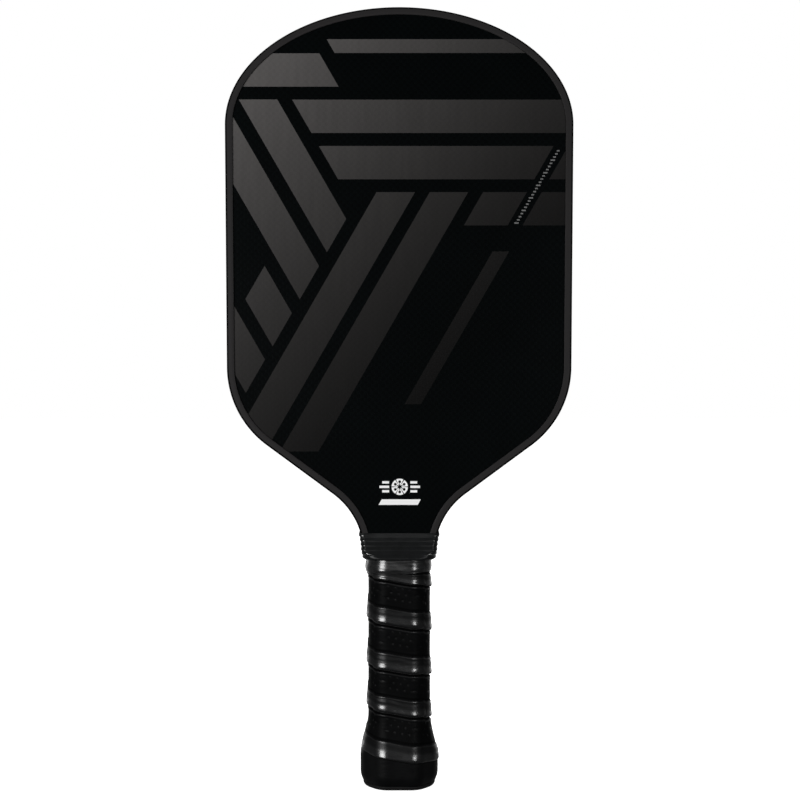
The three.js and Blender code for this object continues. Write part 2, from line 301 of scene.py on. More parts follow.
def ink_material():
    m = Shading("band_ink", Specular_IOR_Level=0.06)
    x, _, z = m.axes(m.place())
    # Painted light: the ink is made lighter towards -X and up Z and darker towards the lower right, as if lit
    # from the upper left.
    level = m.math("MULTIPLY_ADD", x, PRINT_LIGHT[0] / 255, PRINT_BASE / 255)
    level = m.math("MAXIMUM", m.math("MULTIPLY_ADD", z, PRINT_LIGHT[1] / 255, level), 0.03)
    height, checker = weave_height(m, WEAVE)
    grain = m.noise(4.0, detail=4.0, roughness=0.6)
    streaks = m.noise(1.0, vector=m.place((0.35, 1.0, 0.04)), detail=2.0)
    level = m.math("MULTIPLY", level, m.range(grain, 0.25, 0.75, 0.95, 1.04))
    level = m.math("MULTIPLY", level, m.range(streaks, 0.3, 0.7, 0.98, 1.02))
    level = m.math("MULTIPLY", level, m.math("MULTIPLY_ADD", checker, 0.02, 0.99))
    shade = m.math("MULTIPLY", m.math("POWER", level, 2.2), INK_GAIN)
    normal = m.bump(height, 0.015, m.bump(grain, 0.02))
    rough = m.range(grain, 0.3, 0.7, 0.42, 0.52)
    return m.finish(Base_Color=m.tone(shade, (1.05, 1.0, 0.98)), Roughness=rough, Normal=normal)


def mark_material(name, brightness):
    m = Shading(name, Specular_IOR_Level=0.2)
    grain = m.noise(6.0, detail=3.0)
    shade = m.range(grain, 0.3, 0.7, brightness * 0.93, brightness)
    height, _ = weave_height(m, WEAVE)
    normal = m.bump(height, 0.01)
    return m.finish(Base_Color=m.tone(shade), Roughness=m.range(grain, 0.3, 0.7, 0.45, 0.6), Normal=normal)


def guard_material():
    """Charcoal on the lips and black down the outer wall, painted lighter where the wall faces sideways as a
    painted sheen, with faint rubbing along the outer edges.
    """
    m = Shading("guard_plastic")
    facing = m.axes(m.node("NewGeometry", {}, output="Normal"))[1]
    on_lip = m.attribute("lip")
    on_side = m.range(m.math("ABSOLUTE", facing), 0.4, 0.05)
    grain = m.noise(3.5, detail=5.0, roughness=0.6)
    cloud = m.noise(0.06, detail=2.0)
    scuffs = m.range(m.noise(1.0, vector=m.place((0.5, 0.5, 0.5)), detail=6.0, roughness=0.7), 0.62, 0.8)
    rubbed = m.math("MULTIPLY", scuffs, on_side)
    lip = m.tone(m.range(grain, 0.25, 0.75, 0.0158, 0.0184), (1.04, 0.98, 1.0))
    # Painted sheen: the wall's colour is made lighter where its normal faces sideways.
    wall = m.tone(m.math("MULTIPLY_ADD", on_side, 0.008, m.range(cloud, 0.3, 0.7, 0.002, 0.004)))
    colour = m.mix(on_lip, wall, lip)
    colour = m.mix(m.math("MULTIPLY", rubbed, 0.35), colour, rgba(0.03, 0.03, 0.031))
    rough = m.math("ADD", m.range(grain, 0.3, 0.7, 0.42, 0.55), m.math("MULTIPLY", rubbed, 0.15))
    sheen = m.math("MULTIPLY_ADD", on_lip, 0.08, m.math("MULTIPLY", on_side, 0.3))
    return m.finish(
        Base_Color=colour, Roughness=rough, Specular_IOR_Level=sheen, Normal=m.bump(grain, 0.035)
    )


def grip_material():
    """Black polyurethane: glossy where the strip laps, satin and perforated between, matte in the seams.
    Painted shade darkens the seams and the groove, and a painted sheen lightens the glossy parts.
    """
    m = Shading("grip_polyurethane")
    gloss = m.attribute("gloss")
    cavity = m.attribute("cavity")
    pores = m.cells(2.6)
    creases = m.noise(1.0, vector=m.place((0.16, 0.16, 0.7)), detail=3.0, roughness=0.5)
    cloud = m.noise(0.12, detail=3.0)
    # Painted sheen: the colour is made a little lighter where the strip is glossy, on the laps, the glossy
    # lines and round the holes.
    shade = m.math("MULTIPLY_ADD", cloud, 0.003, m.math("MULTIPLY_ADD", gloss, 0.002, 0.0008))
    # Painted shade: the colour is darkened in the seams and the groove.
    shade = m.math("MULTIPLY", shade, m.math("SUBTRACT", 1.0, m.math("MULTIPLY", cavity, 0.9)))
    rough = m.math("MULTIPLY_ADD", gloss, -0.22, 0.46)
    rough = m.math("ADD", rough, m.math("MULTIPLY_ADD", cloud, 0.12, -0.06))
    rough = m.math("ADD", rough, m.math("MULTIPLY", cavity, 0.35), clamp=True)
    normal = m.bump(creases, 0.1, m.bump(pores, 0.012))
    sheen = m.math("MULTIPLY_ADD", m.math("MULTIPLY", gloss, gloss), 0.92, 0.03)
    return m.finish(
        Base_Color=m.tone(shade, (0.95, 1.0, 1.06)), Roughness=rough, Specular_IOR_Level=sheen, Normal=normal
    )


def tape_material():
    m = Shading("vinyl_tape", Specular_IOR_Level=0.9)
    stretch = m.noise(1.0, vector=m.place((0.12, 0.12, 0.8)), detail=3.0)
    cloud = m.noise(0.3, detail=3.0)
    shade = m.range(cloud, 0.3, 0.7, 0.004, 0.009)
    rough = m.range(stretch, 0.3, 0.7, 0.2, 0.34)
    colour = m.tone(shade, (0.96, 1.0, 1.05))
    return m.finish(Base_Color=colour, Roughness=rough, Normal=m.bump(stretch, 0.03))


def collar_material():
    m = Shading("collar_rubber")
    crest = m.attribute("crest")
    grain = m.noise(6.0, detail=4.0, roughness=0.6)
    cloud = m.noise(0.25, detail=3.0)
    shade = m.range(cloud, 0.3, 0.7, 0.003, 0.0045)
    worn = m.math("ADD", m.range(cloud, 0.3, 0.7, 0.38, 0.48), m.range(grain, 0.3, 0.7, -0.03, 0.05))
    rough = m.math("SUBTRACT", worn, m.math("MULTIPLY", crest, 0.31))
    sheen = m.math("ADD", m.math("MULTIPLY", crest, 0.8), 0.2)
    colour = m.tone(shade, (0.88, 1.03, 1.1))
    return m.finish(Base_Color=colour, Roughness=rough, Specular_IOR_Level=sheen, Normal=m.bump(grain, 0.03))


def cap_material():
    m = Shading("cap_plastic", Specular_IOR_Level=0.25)
    sparks = m.cells(4.0)
    cloud = m.noise(0.2, detail=3.0)
    shade = m.range(cloud, 0.3, 0.7, 0.002, 0.004)
    rough = m.range(sparks, 0.0, 0.7, 0.42, 0.6)
    return m.finish(Base_Color=m.tone(shade, (1.0, 1.0, 1.04)), Roughness=rough, Normal=m.bump(sparks, 0.04))


def badge_material():
    """A dark disc with fine turned rings."""
    m = Shading("badge_film", Specular_IOR_Level=0.5, Coat_Weight=0.5, Coat_Roughness=0.08)
    x, y, _ = m.axes(m.place())
    radius = m.math("SQRT", m.math("ADD", m.math("MULTIPLY", x, x), m.math("MULTIPLY", y, y)))
    rings = m.math("SINE", m.math("MULTIPLY", radius, 14.0))
    cloud = m.noise(0.4, detail=3.0)
    shade = m.math("MULTIPLY_ADD", rings, 0.004, m.range(cloud, 0.3, 0.7, 0.022, 0.032))
    rough = m.range(rings, -1.0, 1.0, 0.25, 0.38)
    return m.finish(Base_Color=m.tone(shade), Roughness=rough, Metallic=0.6, Normal=m.bump(rings, 0.01))


def foam_material(name, low, high, cell):
    """Foam with open pores of about 1 / cell millimetres, between two colours, with painted shade in the
    pores.
    """
    m = Shading(name, Specular_IOR_Level=0.2)
    pores = m.cells(cell)
    cloud = m.noise(0.15, detail=3.0)
    colour = m.mix(m.range(cloud, 0.3, 0.7), rgba(*low), rgba(*high))
    # Painted shade: the colour is darkened towards each pore's middle.
    colour = m.mix(m.range(pores, 0.0, 0.35, 0.5, 0.0), colour, rgba(*[c * 0.4 for c in low]))
    rough = m.range(pores, 0.0, 0.6, 0.95, 0.8)
    return m.finish(Base_Color=colour, Roughness=rough, Normal=m.bump(pores, 0.15))


def comb_material():
    """Milky polypropylene, drawn vertically between the cells."""
    m = Shading("honeycomb_polypropylene", Specular_IOR_Level=0.45, Transmission_Weight=0.15)
    drawn = m.noise(1.0, vector=m.place((1.2, 0.15, 1.2)), detail=3.0)
    colour = m.mix(drawn, rgba(0.62, 0.6, 0.52), rgba(0.8, 0.79, 0.72))
    rough = m.range(drawn, 0.3, 0.7, 0.3, 0.5)
    return m.finish(Base_Color=colour, Roughness=rough, Normal=m.bump(drawn, 0.05))


def scrim_material():
    """A bonding film with its open scrim of crossed threads."""
    m = Shading("scrim_film", Specular_IOR_Level=0.4)
    x, _, z = m.axes(m.place(math.pi / 1.4))
    across = m.math("ABSOLUTE", m.math("COSINE", x))
    along = m.math("ABSOLUTE", m.math("COSINE", z))
    threads = m.math("MAXIMUM", across, along)
    thread = m.range(threads, 0.9, 0.98)
    cloud = m.noise(0.2, detail=3.0)
    base = m.mix(cloud, rgba(0.45, 0.42, 0.33), rgba(0.6, 0.57, 0.46))
    colour = m.mix(thread, base, rgba(0.75, 0.73, 0.66))
    rough = m.range(thread, 0, 1, 0.35, 0.7)
    return m.finish(Base_Color=colour, Roughness=rough, Normal=m.bump(thread, 0.05))


def steel_material():
    """Zinc-plated wire with draw lines and a little tarnish."""
    m = Shading("staple_wire", Metallic=1.0)
    lines = m.noise(1.0, vector=m.place((9.0, 0.8, 9.0)), detail=3.0)
    tarnish = m.noise(0.9, detail=4.0)
    colour = m.mix(m.range(tarnish, 0.45, 0.7), rgba(0.6, 0.61, 0.63), rgba(0.34, 0.32, 0.29))
    rough = m.range(lines, 0.3, 0.7, 0.22, 0.42)
    return m.finish(Base_Color=colour, Roughness=rough, Normal=m.bump(lines, 0.01))


CARBON = carbon_material()
INK = ink_material()
WHITE_MARK = mark_material("mark_ink_white", 0.92)
GREY_MARK = mark_material("mark_ink_grey", 0.14)
GUARD = guard_material()
GRIP = grip_material()
TAPE = tape_material()
COLLAR = collar_material()
CAP = cap_material()
BADGE = badge_material()
RIM_FOAM = foam_material("rim_foam", (0.42, 0.39, 0.31), (0.55, 0.52, 0.43), 2.2)
SHELL_FOAM = foam_material("shell_foam", (0.2, 0.19, 0.17), (0.3, 0.29, 0.26), 3.0)

# ---- the head's outline

SHOULDER = Vector((SIDE_HALF - SHOULDER_R, SIDE_END))
THROAT = Vector((THROAT_HALF + THROAT_R, THROAT_Z))
THROAT_STEPS = 14
SHOULDER_STEPS = 18
TOP_STEPS = 48


def outline_turn():
    """The angle that the outline turns through at each round corner."""
    between = THROAT - SHOULDER
    lean = math.acos((SHOULDER_R + THROAT_R) / between.length)
    return -(math.atan2(between.y, between.x) + lean)


def right_half(inset, bottom, fine=1):
    """The right half of the head's outline from bottom up, moved in by inset: (point, outward normal)."""
    turn = outline_turn()
    rise = max(0.0, bottom - THROAT_Z)
    first = math.pi - math.asin(rise / (THROAT_R + inset))
    pairs = []
    for i in range(THROAT_STEPS * fine + 1):
        angle = lerp(first, math.pi - turn, i / (THROAT_STEPS * fine))
        way = Vector((math.cos(angle), math.sin(angle)))
        pairs.append((THROAT + way * (THROAT_R + inset), -way))
    for i in range(SHOULDER_STEPS * fine + 1):
        angle = -turn * (1 - i / (SHOULDER_STEPS * fine))
        way = Vector((math.cos(angle), math.sin(angle)))
        pairs.append((SHOULDER + way * (SHOULDER_R - inset), way))
    for i in range(TOP_STEPS * fine + 1):
        angle = math.pi / 2 * i / (TOP_STEPS * fine)
        way = Vector((math.cos(angle) / HEAD_HALF, math.sin(angle) / CROWN)).normalized()
        rim = Vector((HEAD_HALF * math.cos(angle), LENGTH - CROWN + CROWN * math.sin(angle)))
        pairs.append((rim - way * inset, way))
    return pairs


def whole_outline(inset, bottom, fine=1):
    right = right_half(inset, bottom, fine)
    left = [(Vector((-p.x, p.y)), Vector((-n.x, n.y))) for p, n in right[:-1]]
    return right + left[::-1]


# ---- edge guard


def guard_profile():
    """Half of the U section, from inner to outer wall: (inset, distance from the middle, lip colour)."""
    half = GUARD_HALF
    under = PANEL_HALF + LIP_CLEARANCE
    profile = [(GUARD_WALL, 0.0, 0), (GUARD_WALL, under, 0), (GUARD_LIP - 0.05, under, 1)]
    steps = 5
    for i in range(steps + 1):
        angle = math.pi / 2 * i / steps
        drop = LIP_EDGE * (1 - math.sin(angle))
        inset = GUARD_LIP - LIP_EDGE * (1 - math.cos(angle))
        profile.append((inset, half - drop - LIP_CROWN * math.cos(angle), 1))
    profile += [(lerp(GUARD_ROUND, GUARD_LIP, 0.5), half, 1)]
    profile += [(LIP_START + LIP_BLEND, half, 1), (LIP_START, half, 0)]
    for i in range(steps + 3):
        angle = math.pi / 2 * i / (steps + 2)
        profile.append((GUARD_ROUND * (1 - math.sin(angle)), half - GUARD_ROUND * (1 - math.cos(angle)), 0))
    return profile + [(0.0, 5.2, 0), (0.0, 1.0, 0), (0.0, 0.45, 0), (SPLIT_LINE, 0.25, 0)]


def edge_guard():
    half = guard_profile()
    whole = [(i, -y, lip) for i, y, lip in half] + [(SPLIT_LINE, 0.0, 0)]
    whole += [(i, y, lip) for i, y, lip in half[:0:-1]]
    outline = whole_outline(0, GUARD_END, fine=2)
    rings = [[((p - n * i).x, y, (p - n * i).y) for i, y, _ in whole] for p, n in outline]
    points, faces = loft(rings)
    attributes = {"lip": [lip for _, _, lip in whole] * len(rings)}
    piece = mesh_piece("edge_guard_moulding", points, faces, GUARD, sharp_angle=50, attributes=attributes)
    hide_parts("edge_guard")


edge_guard()

# ---- printed bands

INK_T = 0.04
WINDOW_INSET = 3.4
OPEN = 1000.0
BAND = 17.9
SPACE = 6.9

# Each band lies between two heights, two places across the "/" direction and two across the "\" direction.
FIRST_RISING = -170.4
RISING = [FIRST_RISING, FIRST_RISING + BAND + SPACE]
RISING_END = FIRST_RISING + 2 * BAND + SPACE
BLOCK_START = RISING_END + SPACE
SLASH = -100.4
FALLING_END = FIRST_RISING - SPACE
FALLING = [110.1, 84.8, 59.5, 34.5]
LEVEL_START = FALLING[0] + BAND + SPACE
LEVELS = [351.5, 326.6, 301.8]
RISING_TOP = LEVELS[2] + BAND
RISING_BOTTOM = 180.3
TOP_STRIP = (394.5, 401.9)
TOP_BAND = 376.4


def band(height=(-OPEN, OPEN), rising=(-OPEN, OPEN), falling=(-OPEN, OPEN)):
    return {"height": height, "rising": rising, "falling": falling}


def band_pattern():
    bands = [
        band(height=TOP_STRIP, falling=(LEVEL_START + 32.3, OPEN)),
        band(height=(TOP_BAND, TOP_BAND + BAND), falling=(-OPEN, LEVEL_START + 25.1)),
        band(height=(LEVELS[0], LEVELS[0] + BAND), falling=(LEVEL_START, OPEN)),
        band(height=(LEVELS[1], LEVELS[1] + BAND), rising=(-OPEN, SLASH), falling=(LEVEL_START, OPEN)),
        band(height=(LEVELS[1], LEVELS[1] + BAND), rising=(SLASH + SPACE, OPEN)),
        band(height=(LEVELS[2], LEVELS[2] + BAND), rising=(BLOCK_START, SLASH)),
        band(height=(LEVELS[2], LEVELS[2] + BAND), rising=(SLASH + SPACE, OPEN)),
        band(height=(205.7, 287.8), rising=(SLASH, SLASH + 7.7)),
    ]
    for start in RISING:
        bands.append(band(height=(RISING_BOTTOM, RISING_TOP), rising=(start, start + BAND)))
    for i, start in enumerate(FALLING):
        top = TOP_BAND - SPACE if i == 0 else OPEN
        begin = FALLING_END - 25.4 if i == 2 else -OPEN
        bands.append(band(height=(-OPEN, top), rising=(begin, FALLING_END), falling=(start, start + BAND)))
    return bands


def clipped(outline, normal, limit):
    """The part of an outline where its distance along normal is under limit."""
    kept = []
    for a, b in zip(outline, outline[1:] + outline[:1]):
        da = a.dot(normal) - limit
        db = b.dot(normal) - limit
        if da <= 0:
            kept.append(a)
        if da * db < 0:
            kept.append(a.lerp(b, da / (da - db)))
    return kept


def band_outline(window, limits):
    directions = {
        "height": Vector((0, 1)),
        "rising": Vector((SQRT3_2, -0.5)),
        "falling": Vector((SQRT3_2, 0.5)),
    }
    outline = window
    for name, (low, high) in limits.items():
        outline = clipped(outline, directions[name], high)
        outline = clipped(outline, -directions[name], -low)
    return outline


def inked(name, outlines, material, side):
    """Flat shapes as thin ink on a face. side is -1 at the front, and 1 turns the print round to the back."""
    points = []
    faces = []
    for outline in outlines:
        base = len(points)
        count = len(outline)
        for depth in (PANEL_HALF, PANEL_HALF + INK_T):
            points += [(-side * p.x, side * depth, p.y) for p in outline]
        faces.append(tuple(range(base, base + count)))
        faces.append(tuple(range(base + 2 * count - 1, base + count - 1, -1)))
        for j in range(count):
            k = (j + 1) % count
            faces.append((base + k, base + j, base + count + j, base + count + k))
    piece = mesh_piece(name, points, faces, material, sharp_angle=20)


def slanted(centre, width, height, lean=0.0):
    """A parallelogram whose top is shifted by lean."""
    corners = ((-1, -1), (1, -1), (1, 1), (-1, 1))
    return [Vector((centre.x + i * width / 2 + j * lean / 2, centre.y + j * height / 2)) for i, j in corners]


# ---- the small marks

EMBLEM = Vector((0.3, 161.3))
BALL_R = 4.4
BALL_SLICES = 6
HOLE_R = 0.75
HOLE_PLACE = 0.62  # of the ball's radius
HUB_R = 1.1 * HOLE_R
SLICE_TRIM = 0.06  # angle left bare along each side of a slice
NECK = 0.12  # half angle of the opening from a hole to the slice's tip
DASH_STEP = 2.4
BAR_DROP = 8.2
TICKS = 24
TICK_STEP = 1.95


def polar(angle, radius, centre=EMBLEM):
    return centre + Vector((math.cos(angle), math.sin(angle))) * radius


def ball_slices():
    """A perforated ball as six slices, each with one hole."""
    width = 2 * math.pi / BALL_SLICES
    return [slice_with_hole(width * i, width * (i + 1)) for i in range(BALL_SLICES)]


def slice_with_hole(start, end):
    """A slice of the ball's outline, which runs in from the tip and round the hole."""
    rim_steps = 10
    hole_steps = 18
    middle = (start + end) / 2
    hole = polar(middle, BALL_R * HOLE_PLACE)
    first = start + SLICE_TRIM
    last = end - SLICE_TRIM
    points = [polar(lerp(first, last, i / rim_steps), BALL_R) for i in range(rim_steps + 1)]
    points.append(polar(last, HUB_R))
    inward = middle + math.pi - NECK
    sweep = 2 * math.pi - 2 * NECK
    points += [polar(inward - sweep * i / hole_steps, HOLE_R, hole) for i in range(hole_steps + 1)]
    points.append(polar(first, HUB_R))
    return points


def emblem():
    shapes = ball_slices()
    for side in (-1, 1):
        for row in (-1, 0, 1):
            reach = 5.2 - abs(row) * 1.5
            centre = EMBLEM + Vector((side * (BALL_R + 1.3 + reach / 2), row * DASH_STEP))
            shapes.append(slanted(centre, reach, 1.3))
    shapes.append(slanted(EMBLEM - Vector((0, BAR_DROP)), 21.0, 3.0, lean=1.7))
    return shapes


def ticks():
    """A row of short strokes down the middle of the slash between the level bands."""
    along = Vector((0.5, SQRT3_2))
    middle = SLASH + SPACE / 2
    start = Vector((SQRT3_2, -0.5)) * middle
    first = (LEVELS[2] - start.y) / along.y
    shapes = []
    for i in range(TICKS):
        centre = start + along * (first + 1.5 + i * TICK_STEP)
        long_tick = i % 4 == 0
        shapes.append(slanted(centre, 2.3 if long_tick else 1.4, 0.75))
    return shapes


def face_prints():
    window = [p for p, _ in whole_outline(WINDOW_INSET, GUARD_END + 8)]
    bands = [band_outline(window, limits) for limits in band_pattern()]
    for side, name in ((-1, "front"), (1, "back")):
        inked(f"{name}_print_bands", bands, INK, side)
        inked(f"{name}_print_emblem", emblem(), WHITE_MARK, side)
        inked(f"{name}_print_ticks", ticks(), GREY_MARK, side)


face_prints()

# ---- the handle's section

CORNER_R = 10.0
CORNER_STEPS = 8
SIDE_STEPS = {"face": 34, "chamfer": 12, "edge": 22}
SIDE_ORDER = ("chamfer", "face", "chamfer", "edge", "chamfer", "face", "chamfer", "edge")


def flare_at(z):
    """How far the outside of the grip stands beyond its straight part."""
    out = FLARE * share(z, FLARE_TOP, FLARE_FULL) ** FLARE_CURVE
    return out - HEEL_TUCK * share(z, HEEL_Z, grip_low[2]) ** 2


def octagon_corners(out):
    slope = math.tan(math.pi / 8)
    a = GRIP_HALF_X + out
    b = GRIP_HALF_Y + out
    f = FACET_X + min(0.0, out) * slope
    g = FACET_Y + min(0.0, out) * slope
    signs = ((1, 1), (-1, 1), (-1, -1), (1, -1))
    corners = []
    for i, (sx, sy) in enumerate(signs):
        pair = [Vector((sx * a, sy * g)), Vector((sx * f, sy * b))]
        corners += pair if i % 2 == 0 else pair[::-1]
    return corners


def section(out):
    """The handle's round-cornered octagon, counterclockwise: [(point, outward normal, corner share)]."""
    corners = octagon_corners(out)
    ways = [(b - a).normalized() for a, b in zip(corners, corners[1:] + corners[:1])]
    normals = [Vector((w.y, -w.x)) for w in ways]
    arcs = []
    for i, corner in enumerate(corners):
        n0 = normals[i - 1]
        n1 = normals[i]
        radius = min(CORNER_R, CORNER_R + out)
        centre = corner - (n0 + n1) * (radius / (1 + n0.dot(n1)))
        arc = []
        for step in range(CORNER_STEPS + 1):
            t = step / CORNER_STEPS
            normal = n0.lerp(n1, t).normalized()
            arc.append((centre + normal * radius, normal, math.sin(math.pi * t)))
        arcs.append(arc)
    ring = []
    for i, arc in enumerate(arcs):
        ring += arc
        following = arcs[(i + 1) % 8][0][0]
        steps = SIDE_STEPS[SIDE_ORDER[i]]
        for step in range(1, steps):
            ring.append((arc[-1][0].lerp(following, step / steps), normals[i], 0.0))
    return ring


def ring_at(out, z):
    return [(p.x, p.y, z) for p, _, _ in section(out)]


COLUMNS = len(section(0))

# ---- the wound grip

PITCH_WANTED = 23.1
GRIP_BOTTOM = grip_low[2]
GRIP_TOP = grip_high[2]
TURN_STEPS = round(COLUMNS * (GRIP_TOP - GRIP_BOTTOM) / PITCH_WANTED)
PITCH = (GRIP_TOP - GRIP_BOTTOM) * COLUMNS / TURN_STEPS
START_COLUMN = round(COLUMNS * 0.33)
SWAY = 1.6  # how far the winding leads and lags in each turn
SWAY_PHASE = 0.07
WANDER = [(0.6, -0.3), (1.6, -0.1), (2.6, -0.4), (3.6, 0.8), (4.6, 1.6)]  # how far it strays over the turns
HOLE_COLUMNS = 11
HOLE_ROWS = 7
HOLE_DEPTH = 0.34

# The strip's height against the distance above its lower edge: the lap, a groove, then the thin middle.
LAP = [(0.0, -0.9), (0.14, -0.55), (0.38, 0.2), (0.75, 0.62), (1.2, 0.78), (4.2, 0.42), (5.2, 0.36)]
RIDGE = [(6.0, 0.5), (7.4, 0.12), (7.9, 0.1), (8.3, 0.24)]
GROOVE = [(8.7, 0.0), (9.3, -0.28), (9.7, -0.38), (10.4, -0.2)]
MIDDLE = [(11.4, -0.26), (20.8, -0.26), (21.5, -0.02)]
UNDER_NEXT = [(22.0, -0.16), (22.5, -0.6), (PITCH_WANTED, -0.9)]
RELIEF = LAP + RIDGE + GROOVE + MIDDLE + UNDER_NEXT
RIDGE_PLACE = 0.71  # where in the turn the second ridge is strongest
CREASE = 0.08
HEEL_WRINKLE = 0.2
FLARE_RELIEF = 0.5  # how much of the relief is left on the flare
LAP_END = 8.7
PERFORATED = (11.6, 20.9)
LAP_ROWS = [0.0, 0.1, 0.22, 0.38, 0.58, 0.82, 1.15, 1.6, 2.2, 2.9, 3.7, 4.5, 5.3, 6.1, 6.8, 7.4, 7.9, 8.3]
GROOVE_ROWS = [8.7, 9.05, 9.4, 9.7, 10.0, 10.4, 10.9]
MIDDLE_ROWS = [11.35 + 0.46 * i for i in range(23)]
ROW_PLACES = LAP_ROWS + GROOVE_ROWS + MIDDLE_ROWS + [21.75, 22.0, 22.25, 22.5, 22.8]
ROWS = len(ROW_PLACES)


def helix_height(m):
    """The height of the strip's lower edge after m columns of winding."""
    turns = m / COLUMNS
    ends = smooth(share(turns, 0.0, 0.3)) * (1 - smooth(share(m, TURN_STEPS - COLUMNS * 0.3, TURN_STEPS)))
    lead = SWAY * math.sin(2 * math.pi * (turns - SWAY_PHASE))
    wander = 0.4 * noise.noise(Vector((turns * 2.3, 4.2, 0.0)))
    return GRIP_BOTTOM + PITCH * turns + ends * (lead + wander + curve_through(WANDER, turns))


def strip_edges(m):
    """The lower and upper edge of the strip at m, cut level at the grip's two ends."""
    low = GRIP_BOTTOM if m <= 0 else max(GRIP_BOTTOM, helix_height(m))
    top = m + COLUMNS
    high = GRIP_TOP if top >= TURN_STEPS else min(GRIP_TOP, helix_height(top))
    return low, high


def strip_relief(above, m, corner):
    """The strip's surface at a distance above its lower edge, with its wrinkles."""
    lap = bump_between(above, 0.6, LAP_END - 1.2, 0.8)
    turns = m / COLUMNS
    ripple = noise.noise(Vector((turns * 9.0, above * 0.2, 1.7)))
    stretch = noise.noise(Vector((turns * 26.0 + above * 0.5, above * 0.9, 6.1)))
    crease = abs(noise.noise(Vector((turns * 7.0 - above * 0.16, above * 0.42, 9.3))))
    slide = 0.9 * bump_between(above, 2.0, 7.5, 2.0) * noise.noise(Vector((turns * 6.0, 0.5, 8.8)))
    height = curve_through(RELIEF, above + slide)
    away = 0.5 - 0.5 * math.cos(6 * math.pi * (turns - RIDGE_PLACE))
    height -= 0.16 * bump_between(above, 5.8, 6.4, 0.7) * away
    heel = 1 - smooth(share(turns, 0.9, 1.4))
    height += lap * (0.06 * ripple + 0.014 * stretch - CREASE * max(0.0, 0.1 - crease) / 0.1)
    height += lap * heel * HEEL_WRINKLE * noise.noise(Vector((turns * 5.0, above * 0.55, 3.3)))
    height += lap * corner * 0.03 * math.sin(above * 2.5 + turns * 11.0)
    return height + 0.07 * ripple * (1 - lap)


def strip_gloss(above):
    """How glossy the strip is: most on the lap, with thin glossy lines at the groove and the far edge. The
    same value makes the colour a little lighter there, as a painted sheen.
    """
    lap = bump_between(above, 0.3, LAP_END - 0.5, 1.0) * lerp(1.0, 0.4, smooth(share(above, 3.2, 5.6)))
    edge = 0.35 * bump_between(above, 8.1, 8.4, 0.3)
    return lap + edge + 0.6 * bump_between(above, 21.2, 21.6, 0.4)


def strip_cavity(above):
    """How deep the strip lies in a seam or the groove: the value makes it matte there and paints shade into
    its colour.
    """
    seam = 1 - smooth(share(above, 0.05, 0.4)) + smooth(share(above, 21.8, 22.4))
    groove = bump_between(above, 9.5, 9.9, 0.35)
    return min(1.0, seam + 0.7 * groove)


def winding_column(m):
    """The section's column at m. The winding runs clockwise seen from above."""
    return (START_COLUMN - m) % COLUMNS


def grip_point(m, z, height):
    point, normal, _ = section_cache(z)[winding_column(m)]
    out = point + normal * height
    return (out.x, out.y, z)


_sections = {}


def section_cache(z):
    """The handle's section at a height, kept to the nearest 0.05 mm."""
    key = round(z * 20)
    if key not in _sections:
        _sections[key] = section(flare_at(key / 20))
    return _sections[key]


def cushion_grip():
    points = []
    gloss = []
    cavity = []
    index = {}
    corner_shares = [c for _, _, c in section(0)]

    def corner_point(m, row):
        """The vertex at a column and row. A turn's top row is the next turn's bottom row."""
        if row == ROWS and m + COLUMNS <= TURN_STEPS:
            m, row = m + COLUMNS, 0
        if (m, row) in index:
            return index[m, row]
        low, high = strip_edges(m)
        above = ROW_PLACES[row] if row < ROWS else PITCH_WANTED
        z = lerp(low, high, above / PITCH_WANTED)
        full = share((high - low) / PITCH, 0.0, 0.5)
        first_turn = share(m, 0, COLUMNS * 0.08)
        height = strip_relief(above, m, corner_shares[winding_column(m)])
        dark = strip_cavity(above)
        shine = strip_gloss(above)
        if m < COLUMNS * 0.08:
            height = lerp(-0.15, height, first_turn)
            dark *= first_turn
            shine = lerp(0.25, shine, first_turn)
        height = lerp(-0.05, height, full)
        height *= lerp(FLARE_RELIEF, 1.0, share(z, 24, FLARE_TOP)) if height > 0 else 1.0
        dark *= full
        hole = hole_depth(m, row) * smooth(share(high - low, 0.75 * PITCH, 0.9 * PITCH))
        points.append(grip_point(m, z, height - HOLE_DEPTH * hole))
        # The holes get extra gloss, which also paints their colour a little lighter: a painted highlight.
        gloss.append(min(1.0, shine + 0.38 * hole))
        cavity.append(dark)
        index[m, row] = len(points) - 1
        return index[m, row]

    def hole_depth(m, row):
        if row >= ROWS or not PERFORATED[0] < ROW_PLACES[row] < PERFORATED[1]:
            return 0.0
        line, off_row = divmod(row, HOLE_ROWS)
        shift = (line % 2) * (HOLE_COLUMNS // 2)
        off_column = (m + shift) % HOLE_COLUMNS
        away = math.hypot(off_row - HOLE_ROWS // 2, off_column - HOLE_COLUMNS // 2)
        return max(0.0, 1.0 - away / 1.9)

    faces = []
    for m in range(-COLUMNS, TURN_STEPS):
        for row in range(ROWS):
            corners = [corner_point(m, row), corner_point(m, row + 1)]
            corners += [corner_point(m + 1, row + 1), corner_point(m + 1, row)]
            faces.append(tuple(dict.fromkeys(corners)))
    bottom = [index[m, 0] for m in range(-COLUMNS, 0)]
    top = [index[m, ROWS] for m in range(TURN_STEPS - COLUMNS + 1, TURN_STEPS + 1)]
    faces += inner_sleeve(points, bottom, top)
    spare = len(points) - len(gloss)
    attributes = {"gloss": gloss + [0.0] * spare, "cavity": cavity + [1.0] * spare}
    piece = mesh_piece("cushion_grip_wrap", points, faces, GRIP, sharp_angle=70, attributes=attributes)
    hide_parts("cushion_grip")


